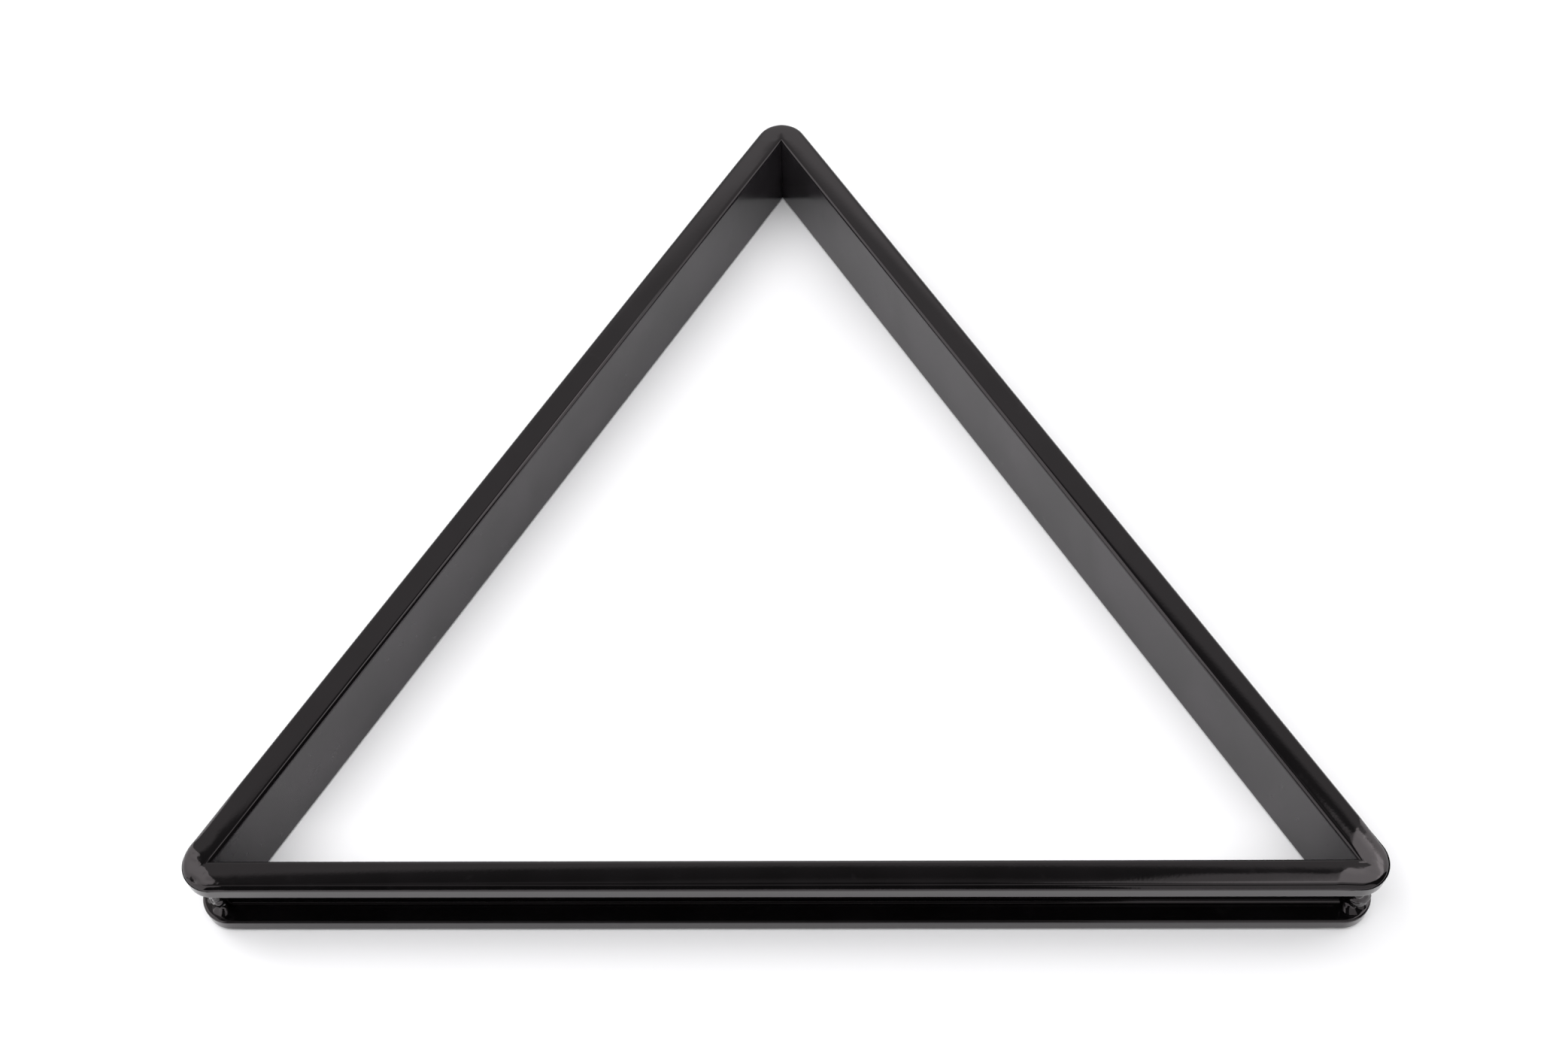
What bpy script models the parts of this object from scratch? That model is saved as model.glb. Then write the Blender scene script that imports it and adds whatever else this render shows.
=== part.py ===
"""Triangle rack for fifteen pool balls: three channel-section rails, mitred, welded and coated.

Frame: metres, +Z up, origin at the centre of the footprint on the table, apex towards +Y.
Every rail is the same channel. Its inner wall is flat and faces the balls, and its open side is
the finger groove, which runs all the way round the outside between two thick flanges.
"""

import math

import bmesh
import bpy
from mathutils import Matrix, Vector

# Driving dimensions, in metres
BALL_DIAMETER = 0.05715
BALL_PLAY = 0.0008  # spare length along one side once fifteen balls are in
RAIL_HEIGHT = 0.031
FLANGE_WIDTH = 0.0092  # from the inner wall to the outer edge
FLANGE_THICKNESS = 0.0064
WEB_THICKNESS = 0.0027
OUTER_EDGE_RADIUS = 0.0018  # the two long edges that the hand meets
INNER_EDGE_RADIUS = 0.0013  # the edges that frame the balls
LIP_RADIUS = 0.0007  # the two edges at the groove's mouth
ROOT_RADIUS = 0.0009  # the fillets at the bottom of the groove
JOINT_GAP = 0.0003  # between two pieces that touch on the real rack

# Weld preparation: a V cut along each mitre, in both flanges
WELD_START = 0.0017  # how far outside the inner corner the V starts
WELD_WIDTH = 0.0050
WELD_DEPTH = 0.0040
# The bead left in the groove, round the outside of the web at each corner
BEAD_THICKNESS = 0.0019
BEAD_FLARE = 0.0009  # extra reach where the bead runs out on the flanges
BEAD_HALF_FLARE = 0.0003  # that reach at half the flare's height, which makes its side hollow
BEAD_FLARE_HEIGHT = 0.0030
BEAD_HALF_ANGLE = math.radians(62)

# Resolution
ARC_STEPS = 4  # faces round each rounded edge of the section
CORNER_STEPS = 10  # faces round each rail's half of a corner
SAME_POINT = 1e-6  # points closer together than this become one
SHORTEST_EDGE = 1e-7

# Derived sizes
# Five balls along a side leave the side this long when the inner corners are sharp.
INNER_SIDE = BALL_DIAMETER * (4 + math.sqrt(3)) + BALL_PLAY
INNER_RADIUS = INNER_SIDE / (2 * math.sqrt(3))  # from the triangle's centre to an inner wall
CORNER_RADIUS = 2 * INNER_RADIUS  # from the triangle's centre to an inner corner
# The footprint runs from the base rail's outer edge to the apex, so its centre is further back.
CENTRE_Y = -(CORNER_RADIUS - INNER_RADIUS) / 2
GROOVE_TOP = RAIL_HEIGHT - FLANGE_THICKNESS
HALF_CORNER = math.radians(60)  # the angle that each of a corner's two rails fills
TURN = math.radians(120)  # from one side of the triangle to the next
CUTTER_REACH = 2 * FLANGE_WIDTH  # a corner's cutters run well past the outer edge
CUTTER_HEIGHT = 2 * RAIL_HEIGHT

# Finish
COAT_BLACK = (0.006, 0.006, 0.007, 1.0)
RAIL_ROUGHNESS = 0.10
DRESSED_ROUGHNESS = 0.12
BEAD_ROUGHNESS = 0.15
SHARP_EDGE = math.radians(40)  # edges that turn by more than this stay sharp in the shading

CORNERS = ["apex", "left", "right"]
# Each rail and the corners at its two ends, in the order that thirds of a turn bring them round.
RAILS = {
    "base_rail": ("left", "right"),
    "right_rail": ("right", "apex"),
    "left_rail": ("apex", "left"),
}


def clear_scene():
    for obj in list(bpy.data.objects):
        bpy.data.objects.remove(obj)


def new_collection(name):
    collection = bpy.data.collections.new(name)
    bpy.context.scene.collection.children.link(collection)
    return collection


def coat_material(name, roughness):
    """Gloss black coating. Each piece has its own, so that it can be finished by itself."""
    material = bpy.data.materials.new(name)
    material.use_nodes = True
    shader = material.node_tree.nodes["Principled BSDF"]
    shader.inputs["Base Color"].default_value = COAT_BLACK
    shader.inputs["Metallic"].default_value = 0.0
    shader.inputs["Roughness"].default_value = roughness
    return material


def rounded_outline(corners):
    """Points along an outline given as (point, radius) corners, each rounded off by an arc."""
    points = []
    for i, (corner, radius) in enumerate(corners):
        before = (corners[i - 1][0] - corner).normalized()
        after = (corners[(i + 1) % len(corners)][0] - corner).normalized()
        half = before.angle(after) / 2
        centre = corner + (before + after).normalized() * (radius / math.sin(half))
        start = corner + before * (radius / math.tan(half)) - centre
        sweep = start.angle_signed(corner + after * (radius / math.tan(half)) - centre)
        for step in range(ARC_STEPS + 1):
            turned = start.copy()
            turned.rotate(Matrix.Rotation(-sweep * step / ARC_STEPS, 2))
            points.append(centre + turned)
    return points


def channel_outline():
    """The rail's section as (outward, up) points. The inner wall lies along outward = 0."""
    corners = [
        (Vector((0, 0)), INNER_EDGE_RADIUS),
        (Vector((FLANGE_WIDTH, 0)), OUTER_EDGE_RADIUS),
        (Vector((FLANGE_WIDTH, FLANGE_THICKNESS)), LIP_RADIUS),
        (Vector((WEB_THICKNESS, FLANGE_THICKNESS)), ROOT_RADIUS),
        (Vector((WEB_THICKNESS, GROOVE_TOP)), ROOT_RADIUS),
        (Vector((FLANGE_WIDTH, GROOVE_TOP)), LIP_RADIUS),
        (Vector((FLANGE_WIDTH, RAIL_HEIGHT)), OUTER_EDGE_RADIUS),
        (Vector((0, RAIL_HEIGHT)), INNER_EDGE_RADIUS),
    ]
    return rounded_outline(corners)


def bead_outline():
    """The groove bead's section as (outward, up) points: a thin column that flares at both ends."""
    inner = WEB_THICKNESS + JOINT_GAP
    outer = inner + BEAD_THICKNESS
    foot = FLANGE_THICKNESS + JOINT_GAP
    top = GROOVE_TOP - JOINT_GAP
    return [
        Vector((inner + ROOT_RADIUS, foot)),
        Vector((outer + BEAD_FLARE, foot)),
        Vector((outer + BEAD_HALF_FLARE, foot + BEAD_FLARE_HEIGHT / 2)),
        Vector((outer, foot + BEAD_FLARE_HEIGHT)),
        Vector((outer, top - BEAD_FLARE_HEIGHT)),
        Vector((outer + BEAD_HALF_FLARE, top - BEAD_FLARE_HEIGHT / 2)),
        Vector((outer + BEAD_FLARE, top)),
        Vector((inner + ROOT_RADIUS, top)),
        Vector((inner, top - ROOT_RADIUS)),
        Vector((inner, foot + ROOT_RADIUS)),
    ]


def section_face(bm, outline, origin, outward):
    """A face of the outline's shape, standing on origin and reaching out along outward."""
    verts = [bm.verts.new(origin + outward * p.x + Vector((0, 0, p.y))) for p in outline]
    return bm.faces.new(verts)


def whole_face(face):
    return [face, *face.edges, *face.verts]


def turn_section(bm, face, pivot, angle, steps):
    """Sweeps the face round the upright line through pivot and returns the face at the end."""
    swept = bmesh.ops.spin(
        bm,
        geom=whole_face(face),
        cent=pivot,
        axis=(0, 0, 1),
        angle=angle,
        steps=steps,
        use_duplicate=False,
    )
    return next(g for g in swept["geom_last"] if isinstance(g, bmesh.types.BMFace))


def push_section(bm, face, along):
    """Sweeps the face straight along a vector and returns the face at the end."""
    made = bmesh.ops.extrude_face_region(bm, geom=[face])["geom"]
    bmesh.ops.translate(bm, verts=[g for g in made if isinstance(g, bmesh.types.BMVert)], vec=along)
    return next(g for g in made if isinstance(g, bmesh.types.BMFace))


def finished_mesh(bm, name):
    """Drops the sections left inside, closes up the points that met on a pivot and makes the mesh."""
    inside = [f for f in bm.faces if all(len(e.link_faces) > 2 for e in f.edges)]
    bmesh.ops.delete(bm, geom=inside, context="FACES_ONLY")
    bmesh.ops.remove_doubles(bm, verts=bm.verts, dist=SAME_POINT)
    bmesh.ops.dissolve_degenerate(bm, edges=bm.edges, dist=SHORTEST_EDGE)
    bmesh.ops.recalc_face_normals(bm, faces=bm.faces)
    mesh = bpy.data.meshes.new(name)
    bm.to_mesh(mesh)
    bm.free()
    mesh.shade_smooth()
    mesh.set_sharp_from_angle(angle=SHARP_EDGE)
    return mesh


def rail_mesh():
    """The base rail: straight between its two corners, and turned round each inner corner."""
    bm = bmesh.new()
    left = Vector((-INNER_SIDE / 2, -INNER_RADIUS, 0))
    right = Vector((INNER_SIDE / 2, -INNER_RADIUS, 0))
    outward = Vector((0, -1, 0))
    # The sweep starts on the left mitre, so its first section is already turned by half a corner.
    mitred = outward.copy()
    mitred.rotate(Matrix.Rotation(-HALF_CORNER, 3, "Z"))
    face = section_face(bm, channel_outline(), left, mitred)
    face = turn_section(bm, face, left, HALF_CORNER, CORNER_STEPS)
    face = push_section(bm, face, right - left)
    turn_section(bm, face, right, HALF_CORNER, CORNER_STEPS)
    return finished_mesh(bm, "rail")


def corner_sector(outline, half_angle):
    """The outline swept round the apex's inner corner, to half_angle either side of +Y."""
    bm = bmesh.new()
    pivot = Vector((0, CORNER_RADIUS, 0))
    start = Vector((0, 1, 0))
    start.rotate(Matrix.Rotation(-half_angle, 3, "Z"))
    face = section_face(bm, outline, pivot, start)
    turn_section(bm, face, pivot, 2 * half_angle, 2 * CORNER_STEPS)
    return bm


def wedge_mesh(name, width, depth, start, top):
    """A prism of V section along the apex's mitre, with its open side up at the height top."""
    bm = bmesh.new()
    pivot = Vector((0, CORNER_RADIUS, 0))
    over = JOINT_GAP  # carries the V's slopes on, so that it opens through the face it cuts
    half = width / 2 * (depth + over) / depth
    outline = [Vector((0, top - depth)), Vector((half, top + over)), Vector((-half, top + over))]
    verts = [bm.verts.new(pivot + Vector((p.x, start, p.y))) for p in outline]
    push_section(bm, bm.faces.new(verts), Vector((0, CUTTER_REACH, 0)))
    return finished_mesh(bm, name)


def add_object(name, mesh, collection, parent, turns=0):
    """An object turned about the triangle's centre by a number of thirds of a turn."""
    obj = bpy.data.objects.new(name, mesh)
    obj.rotation_euler.z = turns * TURN
    obj.parent = parent
    collection.objects.link(obj)
    return obj


def add_cutter(name, mesh, collection, parent, turns):
    cutter = add_object(name, mesh, collection, parent, turns)
    cutter.hide_render = True
    cutter.display_type = "WIRE"
    return cutter


def use_boolean(obj, other, operation):
    modifier = obj.modifiers.new(f"{operation.lower()}_{other.name}", "BOOLEAN")
    modifier.operation = operation
    modifier.solver = "EXACT"
    modifier.object = other


def mitre_kerf_mesh():
    """A thin upright slab on the apex's mitre, as wide as the gap between the two rails."""
    bm = bmesh.new()
    bmesh.ops.create_cube(bm, size=1)
    size = Vector((JOINT_GAP, 2 * CUTTER_REACH, CUTTER_HEIGHT))
    bmesh.ops.scale(bm, vec=size, verts=bm.verts)
    bmesh.ops.translate(bm, vec=Vector((0, CORNER_RADIUS, RAIL_HEIGHT / 2)), verts=bm.verts)
    return finished_mesh(bm, "mitre_kerf")


def flip_to_underside(mesh, name):
    """The same shape for the bottom flange: mirrored through the rail's mid height."""
    flipped = mesh.copy()
    flipped.name = name
    upside_down = Matrix.Scale(-1, 4, (0, 0, 1))
    flipped.transform(Matrix.Translation((0, 0, RAIL_HEIGHT)) @ upside_down)
    flipped.flip_normals()
    return flipped


def build_rails(collection, cutters, frame):
    """Three rails, each cut at its two mitres and prepared there for welding."""
    mesh = rail_mesh()
    kerf = mitre_kerf_mesh()
    top_vee = wedge_mesh("top_vee", WELD_WIDTH, WELD_DEPTH, WELD_START, RAIL_HEIGHT)
    bottom_vee = flip_to_underside(top_vee, "bottom_vee")
    # A third of a turn takes the apex to the left corner, and another one to the right corner.
    corner_cutters = [
        [
            add_cutter(f"{corner}_{shape.name}", shape, cutters, frame, turns)
            for shape in (kerf, top_vee, bottom_vee)
        ]
        for turns, corner in enumerate(CORNERS)
    ]
    for turns, (name, ends) in enumerate(RAILS.items()):
        rail = add_object(name, mesh.copy(), collection, frame, turns)
        rail.data.materials.append(coat_material(f"{name}_coat", RAIL_ROUGHNESS))
        for corner in ends:
            for cutter in corner_cutters[CORNERS.index(corner)]:
                use_boolean(rail, cutter, "DIFFERENCE")


def build_flange_welds(collection, cutters, frame):
    """The filler in each V, dressed flush with the flange and with the corner's round edge."""
    # A gap of JOINT_GAP square to the V's slopes takes this much off the filler's depth.
    depth_lost = JOINT_GAP * math.hypot(WELD_WIDTH / 2, WELD_DEPTH) / (WELD_WIDTH / 2)
    depth = WELD_DEPTH - depth_lost
    width = WELD_WIDTH * depth / WELD_DEPTH
    start = WELD_START + JOINT_GAP
    top_filler = wedge_mesh("top_filler", width, depth, start, RAIL_HEIGHT)
    fillers = {"top": top_filler, "bottom": flip_to_underside(top_filler, "bottom_filler")}
    sector = finished_mesh(corner_sector(channel_outline(), HALF_CORNER), "corner_sector")
    for turns, corner in enumerate(CORNERS):
        envelope = add_cutter(f"{corner}_envelope", sector, cutters, frame, turns)
        for side, mesh in fillers.items():
            name = f"{corner}_{side}_weld"
            weld = add_object(name, mesh.copy(), collection, frame, turns)
            weld.data.materials.append(coat_material(f"{name}_coat", DRESSED_ROUGHNESS))
            use_boolean(weld, envelope, "INTERSECT")


def build_groove_welds(collection, frame):
    """The bead left as laid in the groove, round the outside of the web at each corner."""
    mesh = finished_mesh(corner_sector(bead_outline(), BEAD_HALF_ANGLE), "groove_bead")
    for turns, corner in enumerate(CORNERS):
        name = f"{corner}_groove_weld"
        weld = add_object(name, mesh.copy(), collection, frame, turns)
        weld.data.materials.append(coat_material(f"{name}_coat", BEAD_ROUGHNESS))


def main():
    clear_scene()
    collection = new_collection("triangle_rack")
    cutters = new_collection("cutters")
    frame = bpy.data.objects.new("triangle_centre", None)
    frame.location.y = CENTRE_Y
    collection.objects.link(frame)
    build_rails(collection, cutters, frame)
    build_flange_welds(collection, cutters, frame)
    build_groove_welds(collection, frame)


main()
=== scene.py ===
"""The looks of the triangle rack: coated rails, dressed corners and weld beads round the CAD frame."""

import math

import bmesh
import bpy
from mathutils import Matrix, Vector, noise


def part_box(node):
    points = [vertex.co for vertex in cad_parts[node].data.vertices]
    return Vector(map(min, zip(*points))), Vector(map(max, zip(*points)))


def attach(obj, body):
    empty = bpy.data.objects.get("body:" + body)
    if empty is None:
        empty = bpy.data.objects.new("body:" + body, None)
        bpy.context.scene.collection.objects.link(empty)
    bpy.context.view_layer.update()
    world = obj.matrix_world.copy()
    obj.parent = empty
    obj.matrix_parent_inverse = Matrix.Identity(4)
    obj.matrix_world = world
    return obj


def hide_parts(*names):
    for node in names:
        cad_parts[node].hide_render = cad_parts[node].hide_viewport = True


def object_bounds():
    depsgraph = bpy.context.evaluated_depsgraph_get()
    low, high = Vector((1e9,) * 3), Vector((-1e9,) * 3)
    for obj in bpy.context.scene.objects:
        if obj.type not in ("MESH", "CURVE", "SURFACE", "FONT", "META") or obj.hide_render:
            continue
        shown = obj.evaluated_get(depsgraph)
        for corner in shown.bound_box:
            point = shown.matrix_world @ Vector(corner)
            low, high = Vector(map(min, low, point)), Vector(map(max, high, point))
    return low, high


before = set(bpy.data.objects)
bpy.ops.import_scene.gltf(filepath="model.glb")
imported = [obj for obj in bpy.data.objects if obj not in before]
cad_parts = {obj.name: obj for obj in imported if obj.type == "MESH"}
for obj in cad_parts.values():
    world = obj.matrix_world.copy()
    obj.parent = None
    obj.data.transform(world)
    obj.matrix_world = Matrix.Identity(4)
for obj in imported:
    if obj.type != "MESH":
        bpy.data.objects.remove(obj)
cad_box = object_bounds()

# ---------------------------------------------------------------- sizes, in metres, from the frame
MM = 0.001
low, high = cad_box
base_low, base_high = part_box("base_rail")
bead_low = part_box("apex_groove_weld")[0]
JOINT_GAP = 0.3 * MM  # what the CAD solids leave between two pieces that touch
RAIL_HEIGHT = high.z - low.z
FLANGE_WIDTH = base_high.y - base_low.y
FLANGE_THICKNESS = bead_low.z - low.z - JOINT_GAP
GROOVE_TOP = RAIL_HEIGHT - FLANGE_THICKNESS
# The overall depth is the inner triangle's height and one flange width at each end.
INNER_HEIGHT = (high.y - low.y) - 2 * FLANGE_WIDTH
INNER_SIDE = INNER_HEIGHT * 2 / math.sqrt(3)
CENTRE = Vector((0, low.y + FLANGE_WIDTH + INNER_HEIGHT / 3, 0))
CORNER_RADIUS = INNER_HEIGHT * 2 / 3  # from the triangle's centre to an inner corner
HALF_CORNER = math.radians(60)  # the angle that each of a corner's two rails fills

# The rail's section
WEB_THICKNESS = 2.7 * MM
OUTER_EDGE_RADIUS = 1.8 * MM
INNER_EDGE_RADIUS = 1.3 * MM
LIP_RADIUS = 0.7 * MM
ROOT_RADIUS = 0.9 * MM
CROWN_RADIUS = 53 * MM  # the flanges' outer faces are very slightly domed
WALL_DEPTH = 0.1 * MM  # spots of the section nearer than this to outward = 0 are the inner wall's
ARC_STEPS = 8
LONGEST_EDGE = 0.45 * MM

# ---------------------------------------------------------------- materials


class NodeKit:
    """Adds nodes to a material's or a world's tree and links them up."""

    def __init__(self, tree):
        self.nodes, self.links = tree.nodes, tree.links

    def new(self, kind):
        return self.nodes.new(f"ShaderNode{kind}")

    def noise(self, place, scale, detail):
        node = self.new("TexNoise")
        node.inputs["Scale"].default_value = scale
        node.inputs["Detail"].default_value = detail
        self.links.new(place, node.inputs["Vector"])
        return node.outputs["Fac"]

    def math(self, operation, *values):
        node = self.new("Math")
        node.operation = operation
        for socket, value in zip(node.inputs, values):
            if isinstance(value, (int, float)):
                socket.default_value = value
            else:
                self.links.new(value, socket)
        return node.outputs[0]

    def map_range(self, value, starts, ends, interpolation="LINEAR"):
        """Carries the range starts over to the range ends."""
        node = self.new("MapRange")
        node.interpolation_type = interpolation
        node.inputs["From Min"].default_value, node.inputs["From Max"].default_value = starts
        node.inputs["To Min"].default_value, node.inputs["To Max"].default_value = ends
        self.links.new(value, node.inputs["Value"])
        return node.outputs["Result"]

    def rise(self, value, low, high):
        """0 where value is low or less, 1 where it is high or more."""
        return self.map_range(value, (low, high), (0, 1), "SMOOTHSTEP")

    def fall(self, value, low, high):
        """1 where value is low or less, 0 where it is high or more."""
        return self.map_range(value, (low, high), (1, 0), "SMOOTHSTEP")

    def product(self, *factors):
        result = factors[0]
        for factor in factors[1:]:
            result = self.math("MULTIPLY", result, factor)
        return result

    def ramp(self, value, stops):
        """The colour at value, from (position, (red, green, blue)) stops."""
        node = self.new("ValToRGB")
        elements = node.color_ramp.elements
        while len(elements) < len(stops):
            elements.new(0.5)
        for element, (position, colour) in zip(elements, stops):
            element.position = position
            element.color = (*colour, 1)
        self.links.new(value, node.inputs["Fac"])
        return node.outputs["Color"]

    def mix_colours(self, share, first, second):
        """The first colour, with this share of the second, which is (red, green, blue)."""
        node = self.new("Mix")
        node.data_type = "RGBA"
        self.links.new(share, node.inputs[0])
        self.links.new(first, node.inputs[6])
        node.inputs[7].default_value = (*second, 1)
        return node.outputs[2]

    def bump(self, height, distance, under=None):
        """The normal bumped by this height, on top of the bumps under it."""
        node = self.new("Bump")
        node.inputs["Distance"].default_value = distance
        self.links.new(height, node.inputs["Height"])
        if under:
            self.links.new(under, node.inputs["Normal"])
        return node.outputs["Normal"]


# The coat's own colours under its gloss, red, green and blue, and how its reflections are tinted
DARKER_BLACK = (0.0012, 0.0011, 0.0012)
LIGHTER_BLACK = (0.0026, 0.0023, 0.0026)
WORN_BLACK = (0.0033, 0.0030, 0.0033)
GLOSS_TINT = (1.0, 0.91, 0.94)
# The patterns' scales, in waves per metre
TINT_SCALE = 60.0
WORN_SCALE = 220.0
WAVES_SCALE = 160.0
PEEL_SCALE = 1100.0
PAPER_SCALE = 8.0  # this one's over the whole sheet
# The levels of the noise between which the tint, the worn patches and the haze change
TINT_LEVELS = (0.35, 0.70)
WORN_LEVELS = (0.62, 0.78)
HAZE_LEVELS = (0.3, 0.7)
# As shares of a coat's roughness: its least, its most, and what a worn patch adds
SMOOTHEST, ROUGHEST, WORN_ADDS = 0.8, 1.25, 0.5


def coat_material(name, ior, shade, roughness, peel, waves):
    """Gloss black powder coat: near-black, clear reflections, with a fine orange peel.

    shade scales how grey the coat is under its gloss. peel is the depth of the orange peel in
    metres, and waves that of the slower waves under it. Small handled patches are a little duller
    and greyer than the rest.
    """
    material = bpy.data.materials.new(name)
    material.use_nodes = True
    kit = NodeKit(material.node_tree)
    shader = kit.nodes["Principled BSDF"]
    shader.inputs["Metallic"].default_value = 0.0
    shader.inputs["IOR"].default_value = ior
    shader.inputs["Specular Tint"].default_value = (*GLOSS_TINT, 1)
    place = kit.new("TexCoord").outputs["Object"]

    darker, lighter, worn_black = (
        tuple(c * shade for c in colour) for colour in (DARKER_BLACK, LIGHTER_BLACK, WORN_BLACK)
    )
    tint = kit.noise(place, TINT_SCALE, 4.0)
    colour = kit.ramp(tint, list(zip(TINT_LEVELS, (darker, lighter))))
    worn = kit.rise(kit.noise(place, WORN_SCALE, 3.0), *WORN_LEVELS)
    kit.links.new(kit.mix_colours(worn, colour, worn_black), shader.inputs["Base Color"])

    haze = kit.map_range(tint, HAZE_LEVELS, (roughness * SMOOTHEST, roughness * ROUGHEST))
    rubbed = kit.math("MULTIPLY_ADD", worn, roughness * WORN_ADDS, haze)
    kit.links.new(rubbed, shader.inputs["Roughness"])

    swell = kit.bump(kit.noise(place, WAVES_SCALE, 1.0), waves)
    grain = kit.bump(kit.noise(place, PEEL_SCALE, 2.0), peel, swell)
    kit.links.new(grain, shader.inputs["Normal"])
    return material


def floor_material():
    """Matt white paper under the rack."""
    material = bpy.data.materials.new("white_paper")
    material.use_nodes = True
    kit = NodeKit(material.node_tree)
    shader = kit.nodes["Principled BSDF"]
    shader.inputs["Roughness"].default_value = 0.9
    shader.inputs["Specular IOR Level"].default_value = 0.0
    place = kit.new("TexCoord").outputs["Generated"]
    shades = [(0.0, (0.870, 0.867, 0.880)), (1.0, (0.885, 0.882, 0.895))]
    paper = kit.ramp(kit.noise(place, PAPER_SCALE, 2.0), shades)
    kit.links.new(paper, shader.inputs["Base Color"])
    return material


# ---------------------------------------------------------------- the rails' section


def rounded(corners, steps):
    """Points along an outline of (point, radius) corners, each rounded off by an arc."""
    points = []
    for i, (corner, radius) in enumerate(corners):
        before = (corners[i - 1][0] - corner).normalized()
        after = (corners[(i + 1) % len(corners)][0] - corner).normalized()
        half = before.angle(after) / 2
        centre = corner + (before + after).normalized() * (radius / math.sin(half))
        start = corner + before * (radius / math.tan(half)) - centre
        sweep = start.angle_signed(corner + after * (radius / math.tan(half)) - centre)
        for step in range(steps + 1):
            spoke = start.copy()
            spoke.rotate(Matrix.Rotation(-sweep * step / steps, 2))
            points.append(centre + spoke)
    return points


def subdivided(points, longest):
    """The closed outline with its long sides divided, so that they can be domed and waved."""
    made = []
    for i, point in enumerate(points):
        after = points[(i + 1) % len(points)]
        pieces = max(1, math.ceil((after - point).length / longest))
        made += [point.lerp(after, k / pieces) for k in range(pieces)]
    return made


def sag(point):
    """How far doming lifts this point of the outline: it only touches the flanges' outer faces."""
    drop = (point.x - FLANGE_WIDTH / 2) ** 2 / (2 * CROWN_RADIUS)
    if point.y > RAIL_HEIGHT - INNER_EDGE_RADIUS:
        return -drop
    if point.y < INNER_EDGE_RADIUS:
        return drop
    return 0.0


def channel_outline():
    """The rail's section as (outward, up) points. The inner wall lies along outward = 0."""
    corners = [
        (Vector((0, 0)), INNER_EDGE_RADIUS),
        (Vector((FLANGE_WIDTH, 0)), OUTER_EDGE_RADIUS),
        (Vector((FLANGE_WIDTH, FLANGE_THICKNESS)), LIP_RADIUS),
        (Vector((WEB_THICKNESS, FLANGE_THICKNESS)), ROOT_RADIUS),
        (Vector((WEB_THICKNESS, GROOVE_TOP)), ROOT_RADIUS),
        (Vector((FLANGE_WIDTH, GROOVE_TOP)), LIP_RADIUS),
        (Vector((FLANGE_WIDTH, RAIL_HEIGHT)), OUTER_EDGE_RADIUS),
        (Vector((0, RAIL_HEIGHT)), INNER_EDGE_RADIUS),
    ]
    return [p + Vector((0, sag(p))) for p in subdivided(rounded(corners, ARC_STEPS), LONGEST_EDGE)]


def outline_normals(outline):
    """Each outline point's outward normal, from its two neighbours."""
    normals = []
    for i in range(len(outline)):
        run = outline[(i + 1) % len(outline)] - outline[i - 1]
        normals.append(Vector((run.y, -run.x)).normalized())
    return normals


# ---------------------------------------------------------------- dressed corners


def turned(angle):
    """A unit vector in plan, anticlockwise from +X."""
    return Vector((math.cos(angle), math.sin(angle), 0))


def smooth(x):
    x = min(1.0, max(0.0, x))
    return x * x * (3 - 2 * x)


# The waves left on a dressed corner: each one's size, height and place in the noise
COARSE_WAVES = (7 * MM, 1.0, Vector((7, 3, 1)))
FINE_WAVES = (2.6 * MM, 0.25, Vector((1, 8, 4)))
ROUGH_WAVES = (1.3 * MM, 0.08, Vector((5, 2, 9)))
ROUGH_IN_EDGE = 0.7  # how much the rough waves count in the facet's edge, next to the fine ones
RAGGED_WIDTH = 1.5 * MM
RIM_WIDTH = 2 * MM
RIM_START = 3 * MM  # the rim fades in over this length about the mitre
PIT_DEPTH = 0.5 * MM
PIT_HALF_WIDTH = 0.5 * MM
PIT_HALF_LENGTH = 1.2 * MM
TO_RAILS = math.radians(150)  # from a corner's direction to those of its two rails


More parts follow.
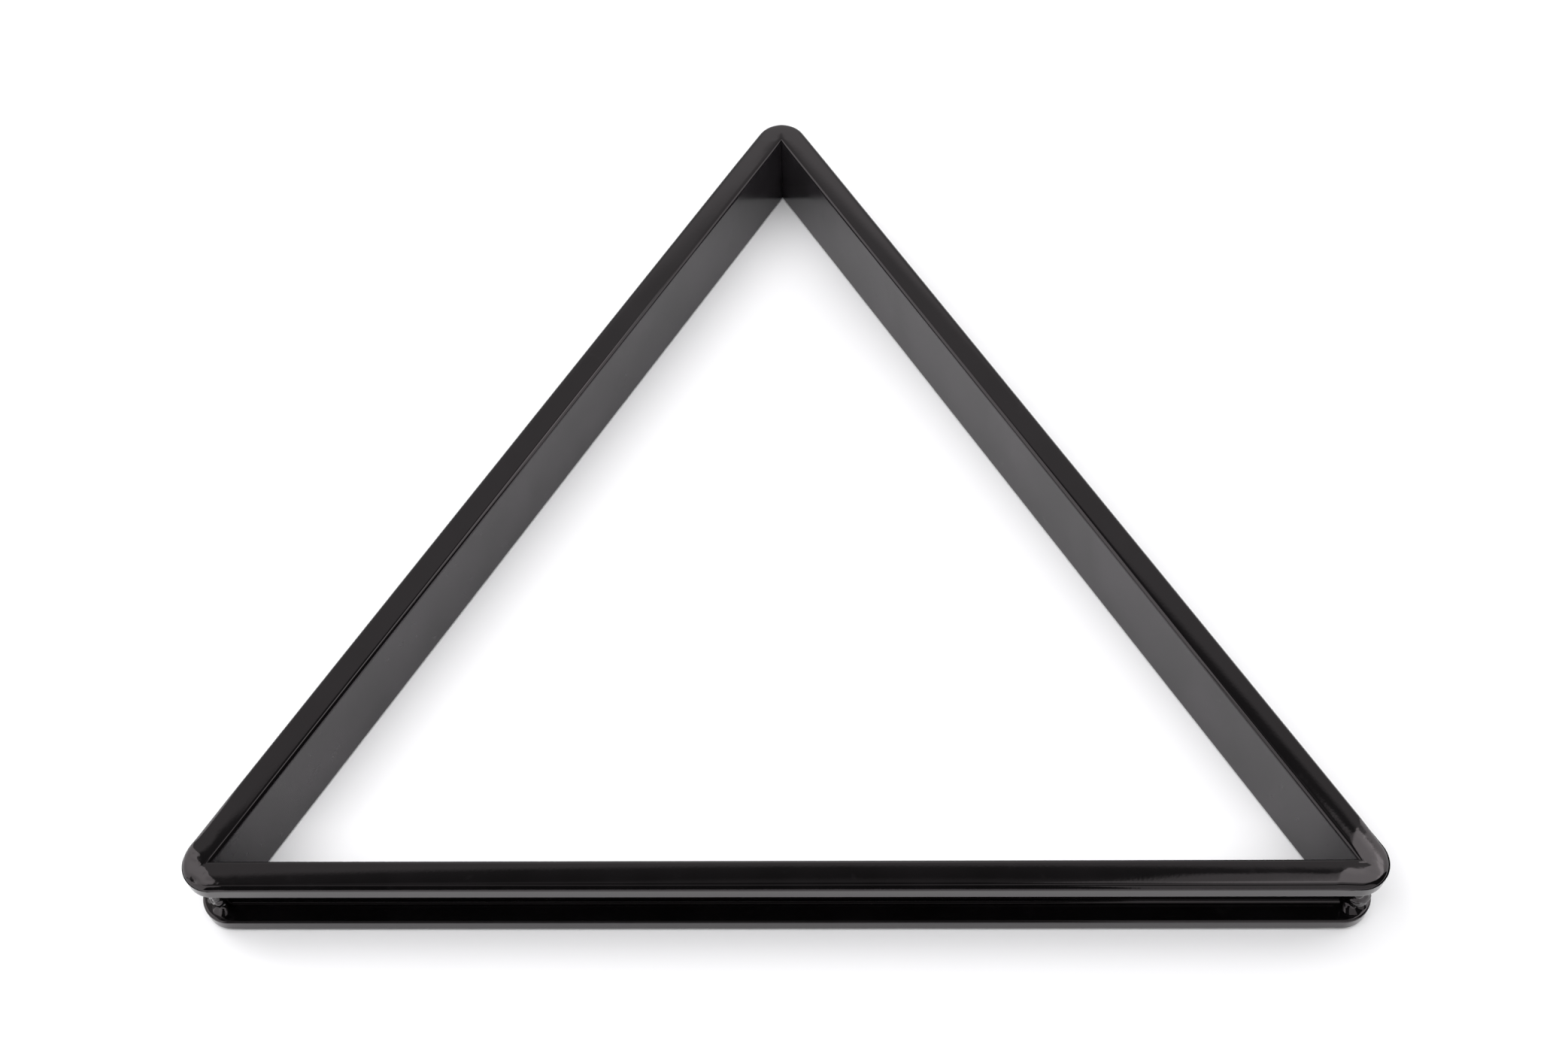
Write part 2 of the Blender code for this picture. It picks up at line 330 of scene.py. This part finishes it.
class Corner:
    """One corner as it was dressed by hand: a shallow flat ground across it, and waves beside that.

    angle is the corner's direction from the triangle's centre, and facing the direction in which
    the flat slopes down. Its upper edge passes the inner corner at a distance of inset. ragged is
    how far that edge wanders, and rim the height of the soft ridge along it on the rail before.
    reach_before and reach_after are how far the waves run along the rails that come before and
    after the corner, going round anticlockwise. pit is a dent's (distance, direction) from the inner
    corner, if there is one.
    """

    def __init__(self, angle, facing, slope, inset, reach_before, reach_after, lumps,
                 ragged=0.0, rim=0.0, pit=None):
        self.angle = math.radians(angle)
        self.point = CENTRE + turned(self.angle) * CORNER_RADIUS
        self.along_before = turned(self.angle - TO_RAILS)
        self.along_after = turned(self.angle + TO_RAILS)
        self.downhill = turned(math.radians(facing))
        self.slope = math.tan(math.radians(slope))
        self.inset = inset
        self.reach_before = reach_before
        self.reach_after = reach_after
        self.lumps = lumps
        self.ragged = ragged
        self.rim = rim
        self.pit = pit

    def weight(self, place):
        """1 on the rounded corner, fading along both rails."""
        away = place - self.point
        before = away.dot(self.along_before) / self.reach_before
        after = away.dot(self.along_after) / self.reach_after
        return 1 - smooth(max(before, after))

    def hollow(self, away):
        """How deep the dent is: it is longer round the corner than it is wide."""
        if not self.pit:
            return 0.0
        distance, direction = self.pit
        middle = turned(math.radians(direction))
        across = (away.length - distance) / PIT_HALF_WIDTH
        angle = math.atan2(middle.cross(away).z, middle.dot(away))
        along = distance * angle / PIT_HALF_LENGTH
        return PIT_DEPTH * math.exp(-(across**2) - along**2)

    def ground_off(self, place):
        """How far the dressed surface lies below the true one."""
        weight = self.weight(place)
        if weight == 0:
            return 0.0
        away = place - self.point
        layers = (COARSE_WAVES, FINE_WAVES, ROUGH_WAVES)
        coarse, fine, rough = (noise.noise(place / size + drift) for size, _, drift in layers)
        height = coarse * COARSE_WAVES[1] + fine * FINE_WAVES[1] + rough * ROUGH_WAVES[1]
        waves = weight * self.lumps * height
        past_edge = away.dot(self.downhill) - self.inset
        near_edge = math.exp(-((past_edge / RAGGED_WIDTH) ** 2))
        past_edge += near_edge * self.ragged * (fine + ROUGH_IN_EDGE * rough)
        on_before = smooth(0.5 + away.dot(self.along_before) / RIM_START)
        ridge = on_before * self.rim * math.exp(-((past_edge / RIM_WIDTH) ** 2))
        return waves + max(0.0, past_edge * self.slope) + self.hollow(away) - ridge


CORNERS = {
    "apex": Corner(90, 90, 1.0, 0, 16 * MM, 16 * MM, 0.02 * MM),
    "left": Corner(
        210, 221, 6.0, 2.7 * MM, 14 * MM, 10 * MM, 0.055 * MM,
        ragged=0.8 * MM, rim=0.16 * MM, pit=(7.5 * MM, 234),
    ),
    "right": Corner(330, 336, 4.5, -3 * MM, 70 * MM, 26 * MM, 0.015 * MM, ragged=0.3 * MM),
}


def ground_away(place):
    return sum(corner.ground_off(place) for corner in CORNERS.values())


def mitred(spot, lean):
    """How far out a spot lies in a section that leans off its rail's own, round a corner.

    There the inner edges' rounding is stretched, so that the two rails' edges meet on the mitre.
    """
    in_groove = FLANGE_THICKNESS - LIP_RADIUS < spot.y < GROOVE_TOP + LIP_RADIUS
    if in_groove or lean == 0:
        return spot.x
    edge = INNER_EDGE_RADIUS
    stretched = edge / math.cos(lean)
    if spot.x < edge:
        return spot.x * stretched / edge
    return stretched + (spot.x - edge) * (FLANGE_WIDTH - stretched) / (FLANGE_WIDTH - edge)


UNEVENNESS = 0.012 * MM  # slow waves all over the rail, and how long they are
UNEVENNESS_SIZE = 18 * MM
# The dressing fades out where the outer edge's rounding turns down, and towards the inner edge.
EDGE_TURN = 0.3
DRESSING_START = 0.3 * MM
DRESSING_FADE = 1 * MM


def surface_point(foot, outward, lean, dome, spot, normal):
    """Where a spot of the section comes to lie, foot being on the inner wall's bottom line.

    dome is the share of the doming that this stretch of rail has.
    """
    point = foot + outward * mitred(spot, lean) + Vector((0, 0, spot.y - (1 - dome) * sag(spot)))
    if spot.x < WALL_DEPTH:
        return point
    place = Vector((point.x, point.y, 0))
    fade = smooth((spot.x - DRESSING_START) / DRESSING_FADE)
    if spot.y > RAIL_HEIGHT - OUTER_EDGE_RADIUS:
        point.z -= ground_away(place) * smooth(normal.y / EDGE_TURN) * fade
    if spot.y < OUTER_EDGE_RADIUS:
        point.z += ground_away(place) * smooth(-normal.y / EDGE_TURN) * fade
    direction = outward * normal.x + Vector((0, 0, normal.y))
    return point + direction * (UNEVENNESS * noise.noise(point / UNEVENNESS_SIZE))


# ---------------------------------------------------------------- rails

# How far apart a rail's sections are: closest near the corners, where the dressing shows
FINE_STEP, FINE_COUNT = 0.6 * MM, 39
COARSE_STEP, COARSE_COUNT = 1.1 * MM, 51
MIDDLE_COUNT = 32
CORNER_STEPS = 26
# The flanges' doming changes from the corner's to the rail's own from here on, over this length
DOMING_START = 6 * MM
DOMING_LENGTH = 14 * MM
# Finishing a mesh
SAME_POINT = 1e-7  # points closer together than this become one
SHORTEST_EDGE = 1e-8
SHARP_EDGE = math.radians(50)  # edges that turn by more than this stay sharp in the shading


def straight_places():
    """Distances along one side at which the rail has its sections."""
    fine = [FINE_STEP * (k + 1) for k in range(FINE_COUNT)]
    coarse = [fine[-1] + COARSE_STEP * (k + 1) for k in range(COARSE_COUNT)]
    near = fine + coarse
    reach = near[-1]
    middle = [reach + (INNER_SIDE - 2 * reach) * k / MIDDLE_COUNT for k in range(1, MIDDLE_COUNT)]
    return near + middle + [INNER_SIDE - d for d in reversed(near)]


def rail_stations(middle_angle, dome):
    """(foot, outward, lean, dome) for each section of the rail that faces outward at middle_angle.

    The sections start on one mitre, turn round that inner corner, run straight to the other inner
    corner and turn round it to the other mitre.
    """
    facing = turned(middle_angle)
    start = CENTRE + turned(middle_angle - HALF_CORNER) * CORNER_RADIUS
    end = CENTRE + turned(middle_angle + HALF_CORNER) * CORNER_RADIUS
    along = (end - start).normalized()
    leans = [HALF_CORNER * k / CORNER_STEPS for k in range(CORNER_STEPS + 1)]
    first = [(start, turned(middle_angle - lean), lean, 1) for lean in reversed(leans)]
    straight = []
    for d in straight_places():
        off_corner = smooth((min(d, INNER_SIDE - d) - DOMING_START) / DOMING_LENGTH)
        straight.append((start + along * d, facing, 0, 1 + (dome - 1) * off_corner))
    last = [(end, turned(middle_angle + lean), lean, 1) for lean in leans]
    return first + straight + last


def finished_object(bm, name):
    """A smooth-shaded object of a closed mesh."""
    bmesh.ops.remove_doubles(bm, verts=bm.verts, dist=SAME_POINT)
    bmesh.ops.dissolve_degenerate(bm, edges=bm.edges, dist=SHORTEST_EDGE)
    bmesh.ops.recalc_face_normals(bm, faces=bm.faces)
    mesh = bpy.data.meshes.new(name)
    bm.to_mesh(mesh)
    bm.free()
    mesh.shade_smooth()
    mesh.set_sharp_from_angle(angle=SHARP_EDGE)
    obj = bpy.data.objects.new(name, mesh)
    bpy.context.scene.collection.objects.link(obj)
    return obj


def join_rows(bm, rows, fan=False):
    """Faces between neighbouring rows of points, each row being a closed ring, with both ends capped.

    A fan of triangles from a row's last point caps an end that isn't flat.
    """
    for a, b in zip(rows, rows[1:]):
        for j in range(len(a)):
            k = (j + 1) % len(a)
            bm.faces.new((a[j], b[j], b[k], a[k]))
    if not fan:
        bm.faces.new(rows[0])
        bm.faces.new(reversed(rows[-1]))
        return
    for row in (rows[0], rows[-1]):
        for a, b in zip(row, row[1:-1]):
            bm.faces.new((row[-1], a, b))


def build_rail(name, middle_angle, dome):
    outline = channel_outline()
    normals = outline_normals(outline)
    bm = bmesh.new()
    rows = []
    for station in rail_stations(middle_angle, dome):
        points = [surface_point(*station, s, n) for s, n in zip(outline, normals)]
        rows.append([bm.verts.new(p) for p in points])
    bm.verts.index_update()
    join_rows(bm, rows)
    inner_wall = [i for i, spot in enumerate(outline) if spot.x < WALL_DEPTH]
    for face in bm.faces:
        if len(face.verts) == 4 and all(v.index % len(outline) in inner_wall for v in face.verts):
            face.material_index = 1
    return finished_object(bm, name)


# ---------------------------------------------------------------- flange welds

WELD_START = 2.8 * MM
WELD_HALF_WIDTH = 2.5 * MM
WELD_DEPTH = 3.6 * MM
WELD_TURN = 0.2  # it covers the section where that faces up or outward by more than this
WELD_TAPER = 0.8  # the share of its width that the weld loses by its full depth
WIDEST_SEAM = 0.7  # the most that half the seam may be of its distance from the inner corner
SEAM_SIDE_STEPS = 4
KEEL_INSET = 0.8 * MM
KEEL_DROP = 0.2 * MM
SEAM_CROWN = 0.010 * MM  # how far the dressed weld stands proud of the flange along its middle
SEAM_EDGE = 0.006 * MM  # how far its edges lie below the flange's surface


def build_flange_weld(name, corner, upside_down):
    """The filler along a mitre: a shallow dressed seam on the flange, over a keel inside it."""
    outline = channel_outline()
    normals = outline_normals(outline)
    chosen = [
        (s, n)
        for s, n in zip(outline, normals)
        if s.x > WELD_START and s.y > RAIL_HEIGHT - WELD_DEPTH and max(n) > WELD_TURN
    ]
    bm = bmesh.new()
    rows = []
    for spot, normal in chosen:
        depth = RAIL_HEIGHT - spot.y
        half = WELD_HALF_WIDTH * (1 - WELD_TAPER * depth / WELD_DEPTH)
        widest = math.asin(min(WIDEST_SEAM, half / spot.x))  # the seam's half width, as an angle
        row = []
        for k in range(2 * SEAM_SIDE_STEPS + 1):
            u = k / SEAM_SIDE_STEPS - 1
            outward = turned(corner.angle + u * widest)
            proud = SEAM_CROWN * (1 - u * u) - SEAM_EDGE * u * u
            direction = outward * normal.x + Vector((0, 0, normal.y))
            lean = HALF_CORNER - abs(u) * widest
            point = surface_point(corner.point, outward, lean, 1, spot, normal) + direction * proud
            row.append(point)
        keel = corner.point + turned(corner.angle) * (spot.x - KEEL_INSET)
        keel.z = RAIL_HEIGHT - WELD_DEPTH - KEEL_DROP
        row.append(keel)
        if upside_down:
            row = [Vector((p.x, p.y, RAIL_HEIGHT - p.z)) for p in row]
        rows.append([bm.verts.new(p) for p in row])
    join_rows(bm, rows, fan=True)
    return finished_object(bm, name)


# ---------------------------------------------------------------- groove welds

BEAD_HALF_ANGLE = math.radians(66)
BEAD_STEPS = 52  # round the web
BEAD_LEVELS = 34
BEAD_THICKNESS = 3.7 * MM
BEAD_FLARE = 1.6 * MM  # extra reach where the bead runs out on the flanges, and how high that goes
BEAD_FLARE_HEIGHT = 1.3 * MM
BEAD_ROOT = 0.6 * MM  # how far the bead reaches into the web
BEAD_OVERLAP = 0.3 * MM  # how far it reaches into the flanges
BEAD_FOOT = FLANGE_THICKNESS - BEAD_OVERLAP
BEAD_TOP = GROOVE_TOP + BEAD_OVERLAP
BEAD_SETBACK = 0.5 * MM  # it stays this far inside the flanges' outer edge
LARGE_LUMPS = (3.4 * MM, 2.0 * MM)  # size and height
SMALL_LUMPS = (1.5 * MM, 0.7 * MM)
LUMPS_AT = 5 * MM  # the lumps are those of the noise at this distance from the inner corner


def bead_reach(corner, outward, z, fade, drift):
    """How far the bead reaches from the inner corner at this height."""
    to_end = min(z - BEAD_FOOT, BEAD_TOP - z)
    flare = BEAD_FLARE * math.exp(-to_end / BEAD_FLARE_HEIGHT)
    place = corner.point + outward * LUMPS_AT + Vector((0, 0, z))
    lumps = LARGE_LUMPS[1] * noise.noise(place / LARGE_LUMPS[0] + drift)
    lumps += SMALL_LUMPS[1] * noise.noise(place / SMALL_LUMPS[0] - drift)
    reach = WEB_THICKNESS + fade * (BEAD_THICKNESS + flare + lumps)
    return min(reach, FLANGE_WIDTH - BEAD_SETBACK)


def build_groove_weld(name, corner, seed):
    """The bead left as laid in the groove: a lumpy column that flares out on to both flanges."""
    bm = bmesh.new()
    rows = []
    drift = Vector((seed, 2 * seed, 3 * seed))
    inside = WEB_THICKNESS - BEAD_ROOT
    for i in range(BEAD_STEPS + 1):
        u = 2 * i / BEAD_STEPS - 1
        outward = turned(corner.angle + u * BEAD_HALF_ANGLE)
        fade = 1 - abs(u) ** 7
        row = []
        for j in range(BEAD_LEVELS + 1):
            z = BEAD_FOOT + (BEAD_TOP - BEAD_FOOT) * j / BEAD_LEVELS
            reach = bead_reach(corner, outward, z, fade, drift)
            row.append(corner.point + outward * reach + Vector((0, 0, z)))
        row.append(corner.point + outward * inside + Vector((0, 0, BEAD_TOP)))
        row.append(corner.point + outward * inside + Vector((0, 0, BEAD_FOOT)))
        rows.append([bm.verts.new(p) for p in row])
    join_rows(bm, rows)
    return finished_object(bm, name)


# ---------------------------------------------------------------- stage

FLOOR_RADIUS = 0.8


def add_floor():
    bpy.ops.mesh.primitive_circle_add(vertices=128, radius=FLOOR_RADIUS, fill_type="NGON")
    floor = bpy.context.object
    floor.name = "floor"
    floor.data.materials.append(floor_material())


def add_softbox(name, place, aim, width, height, radiance, shines_on_paper):
    """A softbox at place, turned towards aim.

    Some are large sheets that only light the paper, and some are only there to be reflected.
    """
    light = bpy.data.lights.new(name, "AREA")
    light.shape = "RECTANGLE"
    light.size = width
    light.size_y = height
    # A lamp of this power has the radiance asked for, whatever its size.
    light.energy = radiance * math.pi * width * height
    obj = bpy.data.objects.new(name, light)
    obj.location = place
    obj.rotation_mode = "QUATERNION"
    obj.rotation_quaternion = (Vector(place) - Vector(aim)).to_track_quat("Z", "Y")
    obj.visible_camera = False
    obj.visible_diffuse = shines_on_paper
    obj.visible_glossy = not shines_on_paper
    bpy.context.scene.collection.objects.link(obj)


def from_above(azimuth, elevation, distance):
    """A place over the rack. Azimuth 0 is behind the apex and 90 is to the right."""
    a, e = math.radians(azimuth), math.radians(elevation)
    return CENTRE + distance * Vector((math.sin(a) * math.cos(e), math.cos(a) * math.cos(e), math.sin(e)))


# The sheets that light the paper: azimuth, elevation, distance, width, height, radiance
PAPER_LIGHTS = {
    "overhead_sheet": (0, 89, 1.6, 1.2, 1.2, 1.35),
    "front_sheet": (180, 62, 1.6, 1.6, 0.8, 3.05),
    "left_sheet": (-90, 60, 1.6, 1.4, 0.8, 3.16),
    "low_back_sheet": (-45, 15, 1.8, 1.4, 0.8, 3.34),
    "right_sheet": (90, 60, 1.6, 1.4, 0.8, 0.93),
}

# The softboxes stood beside the rack to be reflected in its corners: the corner, the azimuth as
# seen from that corner, distance, width, height, radiance
TALL_BOXES = {
    "left_tall_box": ("left", -73, 0.71, 0.73, 1.6, 1.75),
    "front_left_tall_box": ("left", -124, 0.80, 0.66, 1.3, 1.5),
    "right_tall_box": ("right", 67, 0.74, 0.5, 1.25, 1.5),
    "front_right_tall_box": ("right", 150, 0.80, 0.75, 1.0, 0.8),
}


def add_lights():
    for name, (azimuth, elevation, distance, width, height, radiance) in PAPER_LIGHTS.items():
        place = from_above(azimuth, elevation, distance)
        add_softbox(name, place, CENTRE, width, height, radiance, True)
    for name, (corner_name, azimuth, distance, width, height, radiance) in TALL_BOXES.items():
        middle = CORNERS[corner_name].point + Vector((0, 0, height / 2))
        a = math.radians(azimuth)
        place = middle + distance * Vector((math.sin(a), math.cos(a), 0))
        add_softbox(name, place, middle, width, height, radiance, False)


# How bright the studio's back wall and ceiling look, by elevation in degrees.
BACK_WALL = [
    (0, 0.42),
    (40, 0.58),
    (59.5, 0.64),
    (60.8, 0.36),
    (61.8, 0.11),
    (66, 0.07),
    (69, 0.06),
    (71, 0.20),
    (75, 0.20),
    (78, 0.04),
    (90, 0.03),
]
WALL_TILT = 0.03  # degrees that the wall's top edge falls by for each degree to the right
WALL_SIDES = (55, 80)  # where the wall fades out, in degrees off the back
# A glow low on the wall behind the apex, by degrees off the back and by elevation
GLOW_SIDES = (2, 24)
GLOW_TOP = (45.5, 49.5)
GLOW = 0.55
# A softbox hangs over the right. Its near edge is low enough to show in the right corner: that edge
# is given for azimuth 0, falls by WINDOW_TILT for each degree to the right, and drops further on.
WINDOW_BOTTOM = (70, 71)
WINDOW_TILT = 0.235
WINDOW_DROP = 3
WINDOW_DROP_AT = (38, 48)
WINDOW_TOP = (76, 80)
WINDOW_LEFT = (24, 28)
WINDOW_RIGHT = (76, 86)
WINDOW_DIMMEST, WINDOW_BRIGHTEST = 0.85, 2.3
WINDOW_BRIGHTENS = (32, 46)
# A softbox high over the front shows as a thin line along the base's outer edge.
FRONT_SIDES = (85, 105)
FRONT_BOTTOM = (60, 64)
FRONT_TOP = (78, 82)
FRONT_DIMMEST, FRONT_BRIGHTEST = 0.35, 0.95
FRONT_BRIGHTENS = (0.02, 0.25)  # by how far to the right, from 0 to 1
DARK_ROOM = 0.05
PAPER_WHITE = 1.1


def set_world():
    """A dim room whose back wall is brightest low down behind the apex.

    The camera itself sees plain white past the edge of the floor.
    """
    world = bpy.data.worlds.new("studio")
    bpy.context.scene.world = world
    world.use_nodes = True
    kit = NodeKit(world.node_tree)
    split = kit.new("SeparateXYZ")
    kit.links.new(kit.new("TexCoord").outputs["Generated"], split.inputs[0])
    x, y, z = split.outputs
    azimuth = kit.math("MULTIPLY", kit.math("ARCTAN2", x, y), 180 / math.pi)
    off_back = kit.math("ABSOLUTE", azimuth)
    elevation = kit.math("MULTIPLY", kit.math("ARCSINE", z), 180 / math.pi)

    tilted = kit.math("ADD", elevation, kit.math("MULTIPLY", azimuth, WALL_TILT))
    greys = [(degrees / 90, (grey, grey, grey)) for degrees, grey in BACK_WALL]
    wall = kit.ramp(kit.math("DIVIDE", tilted, 90), greys)
    wall = kit.product(wall, kit.fall(off_back, *WALL_SIDES))

    glow = kit.product(kit.fall(off_back, *GLOW_SIDES), kit.fall(elevation, *GLOW_TOP), GLOW)

    drop = kit.math("MULTIPLY", kit.rise(azimuth, *WINDOW_DROP_AT), WINDOW_DROP)
    lifted = kit.math("MULTIPLY_ADD", azimuth, WINDOW_TILT, kit.math("ADD", elevation, drop))
    brightness = kit.rise(azimuth, *WINDOW_BRIGHTENS)
    brightness = kit.map_range(brightness, (0, 1), (WINDOW_DIMMEST, WINDOW_BRIGHTEST))
    window = kit.product(
        kit.rise(lifted, *WINDOW_BOTTOM),
        kit.fall(elevation, *WINDOW_TOP),
        kit.rise(azimuth, *WINDOW_LEFT),
        kit.fall(azimuth, *WINDOW_RIGHT),
        brightness,
    )

    brightness = kit.rise(x, *FRONT_BRIGHTENS)
    brightness = kit.map_range(brightness, (0, 1), (FRONT_DIMMEST, FRONT_BRIGHTEST))
    front = kit.product(
        kit.rise(off_back, *FRONT_SIDES),
        kit.rise(elevation, *FRONT_BOTTOM),
        kit.fall(elevation, *FRONT_TOP),
        brightness,
    )
    total = kit.math("ADD", kit.math("ADD", wall, glow), kit.math("ADD", window, front))
    total = kit.math("ADD", total, DARK_ROOM)

    pick = kit.new("Mix")
    pick.data_type = "FLOAT"
    kit.links.new(kit.new("LightPath").outputs["Is Camera Ray"], pick.inputs[0])
    kit.links.new(total, pick.inputs[2])
    pick.inputs[3].default_value = PAPER_WHITE
    background = kit.nodes["Background"]
    background.inputs["Color"].default_value = (1, 1, 1, 1)
    kit.links.new(pick.outputs[0], background.inputs["Strength"])


CAMERA_ELEVATION = math.radians(56.958)
CAMERA_YAW = math.radians(4.075)
CAMERA_ROLL = math.radians(-3.880)
CAMERA_DISTANCE = 657.3 * MM
CAMERA_TARGET = CENTRE + Vector((-14.41, 28.44, 0)) * MM


def add_camera():
    """The camera, in front of the base and over it, a little to the right."""
    level_reach = math.cos(CAMERA_ELEVATION)
    back = Vector(
        (
            math.sin(CAMERA_YAW) * level_reach,
            -math.cos(CAMERA_YAW) * level_reach,
            math.sin(CAMERA_ELEVATION),
        )
    )
    level = (-back).cross(Vector((0, 0, 1))).normalized()
    upright = level.cross(-back)
    right = level * math.cos(CAMERA_ROLL) + upright * math.sin(CAMERA_ROLL)
    up = upright * math.cos(CAMERA_ROLL) - level * math.sin(CAMERA_ROLL)
    camera = bpy.data.cameras.new("camera")
    camera.sensor_width = 36.0
    camera.lens = 45.19
    camera.shift_x = 0.0290
    camera.shift_y = 0.0222
    camera.clip_start = 0.01
    camera.clip_end = 50
    obj = bpy.data.objects.new("camera", camera)
    place = Matrix((right, up, back)).transposed().to_4x4()
    place.translation = CAMERA_TARGET + back * CAMERA_DISTANCE
    obj.matrix_world = place
    bpy.context.scene.collection.objects.link(obj)
    bpy.context.scene.camera = obj


# ---------------------------------------------------------------- building it all


def place_piece(piece, materials, node_name):
    for material in materials:
        piece.data.materials.append(material)
    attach(piece, "root")
    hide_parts(node_name)


add_camera()
add_floor()
set_world()
add_lights()

GLOSS = dict(ior=1.5, shade=1, roughness=0.06, peel=0.0045 * MM, waves=0.003 * MM)
# The inner walls are rubbed to a satin and painted lighter. Their twelve times greyer colour stands in
# for light reflected between the walls, lifting the shaded walls and the dark apex between them.
SATIN_AND_PAINTED_LIGHT = dict(ior=1.335, shade=12, roughness=0.17, peel=0.004 * MM, waves=0.003 * MM)
rail_coat = coat_material("rail_coat", **GLOSS)
wall_coat = coat_material("inner_wall_coat", **SATIN_AND_PAINTED_LIGHT)  # rubbed by the balls; its greyer colour is partly painted reflected light
weld_coat = coat_material("dressed_weld_coat", **GLOSS)
bead_coat = coat_material("groove_weld_coat", **GLOSS)

# Each rail's outward direction in degrees, and the share of the doming that its flanges have
RAILS = {"base_rail": (-90, 1.0), "right_rail": (30, 0.9), "left_rail": (150, 0.3)}
for node_name, (angle, dome) in RAILS.items():
    rail = build_rail(f"coated_{node_name}", math.radians(angle), dome)
    place_piece(rail, [rail_coat, wall_coat], node_name)

for number, (corner_name, corner) in enumerate(CORNERS.items()):
    for side, upside_down in (("top", False), ("bottom", True)):
        node_name = f"{corner_name}_{side}_weld"
        seam = build_flange_weld(f"dressed_{node_name}", corner, upside_down)
        place_piece(seam, [weld_coat], node_name)
    node_name = f"{corner_name}_groove_weld"
    bead = build_groove_weld(f"laid_{node_name}", corner, 5 + 3 * number)
    place_piece(bead, [bead_coat], node_name)

bpy.context.scene.view_settings.view_transform = "Standard"
